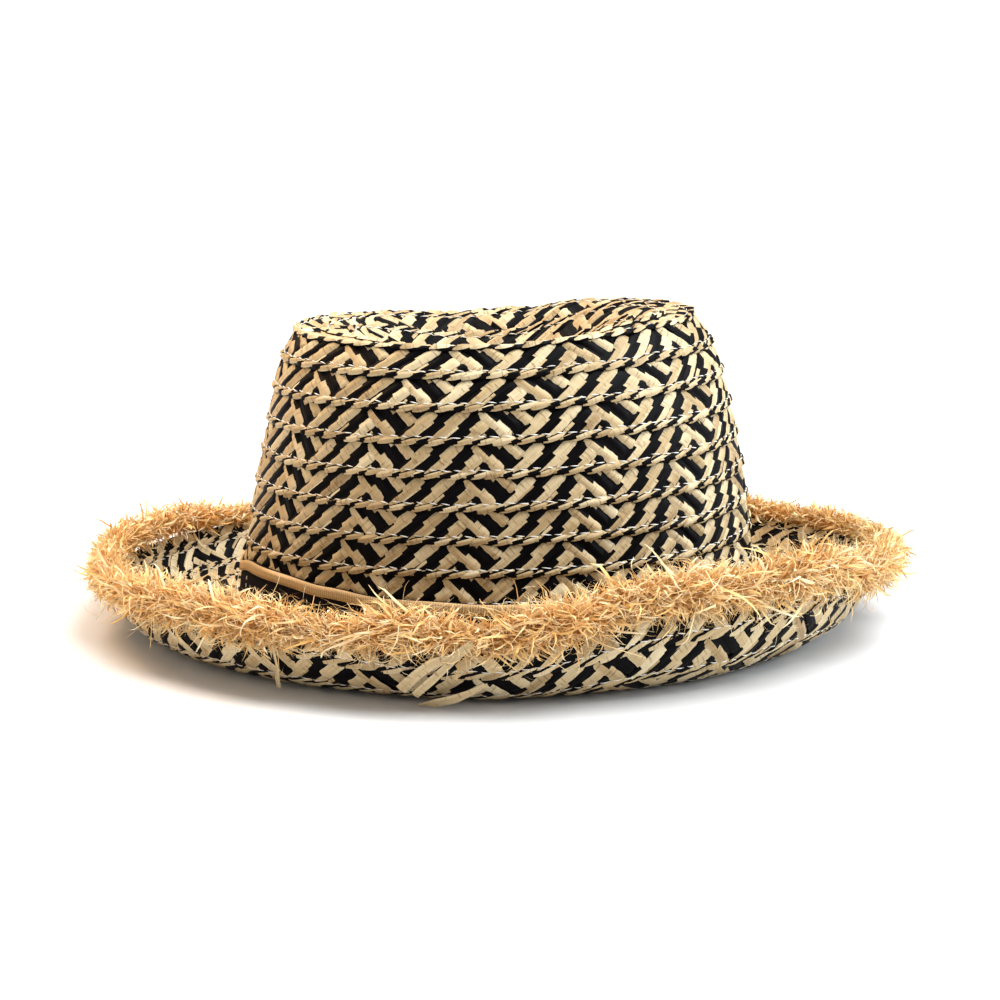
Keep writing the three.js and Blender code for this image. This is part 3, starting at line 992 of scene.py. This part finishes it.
# Floor, lights and camera
studio = {
    "floorSize": 400.0,
    "eye": (0.0012, -0.922, 0.245),
    "pitch": 77.8587,
    "lens": 85.93,
    "sensor": 36.0,
    "floorTone": (0.65, 0.65, 0.65, 1),
    "worldStrength": 0.5,
    # name, place, strength, softness in degrees, colour
    "sun": ("key", (0.42, -0.05, 1.0), 4.2, 40, (0.95, 0.98, 1.0)),
    # name, place, target, size, power, colour
    "lamps": [
        ("side", (1.05, -0.15, 0.5), (0, 0, 0.06), 0.6, 9, (0.78, 0.89, 1.0)),
        ("back", (-0.5, 0.35, 1.0), (-0.08, 0, 0.03), 0.5, 6, (0.90, 0.96, 1.0)),
        ("warm", (-0.9, -0.35, 0.5), (0, 0, 0.06), 0.5, 1.0, (1.0, 0.80, 0.52)),
        ("glow", (-0.35, 0.1, 0.42), (0.05, 0, 0.11), 0.2, 1.5, (1.0, 0.52, 0.14)),
    ],
}


def studioFloor():
    bm = bmesh.new()
    bmesh.ops.create_grid(bm, x_segments=8, y_segments=8, size=studio["floorSize"] / 2)
    mesh = bpy.data.meshes.new("floor")
    bm.to_mesh(mesh)
    bm.free()
    floor = bpy.data.objects.new("floor", mesh)
    bpy.context.collection.objects.link(floor)
    material, tree, shader = newMaterial("pale floor", 0.9)
    shader.inputs["Base Color"].default_value = studio["floorTone"]
    mesh.materials.append(material)


def areaLight(name, place, target, size, power, colour):
    light = bpy.data.lights.new(name, "AREA")
    light.size = size
    light.energy = power
    light.color = colour
    lamp = bpy.data.objects.new(name, light)
    bpy.context.collection.objects.link(lamp)
    lamp.location = place
    away = np.array(target) - np.array(place)
    lamp.rotation_euler = Vector(away).to_track_quat("-Z", "Y").to_euler()


def sunLight(name, place, strength, softness, colour):
    light = bpy.data.lights.new(name, "SUN")
    light.energy = strength
    light.angle = math.radians(softness)
    light.color = colour
    lamp = bpy.data.objects.new(name, light)
    bpy.context.collection.objects.link(lamp)
    lamp.rotation_euler = Vector(place).to_track_quat("Z", "Y").to_euler()


def addCamera():
    data = bpy.data.cameras.new("camera")
    data.sensor_fit = "HORIZONTAL"
    data.sensor_width = studio["sensor"]
    data.lens = studio["lens"]
    camera = bpy.data.objects.new("camera", data)
    bpy.context.collection.objects.link(camera)
    camera.location = studio["eye"]
    camera.rotation_euler = (math.radians(studio["pitch"]), 0, 0)
    bpy.context.scene.camera = camera


studioFloor()
sunLight(*studio["sun"])
for lamp in studio["lamps"]:
    areaLight(*lamp)
world = bpy.data.worlds.new("studio")
world.use_nodes = True
backdrop = world.node_tree.nodes["Background"].inputs
backdrop["Color"].default_value = (1, 1, 1, 1)
backdrop["Strength"].default_value = studio["worldStrength"]
bpy.context.scene.world = world
bpy.context.scene.view_settings.view_transform = "Standard"
addCamera()
print("hat: studio made")
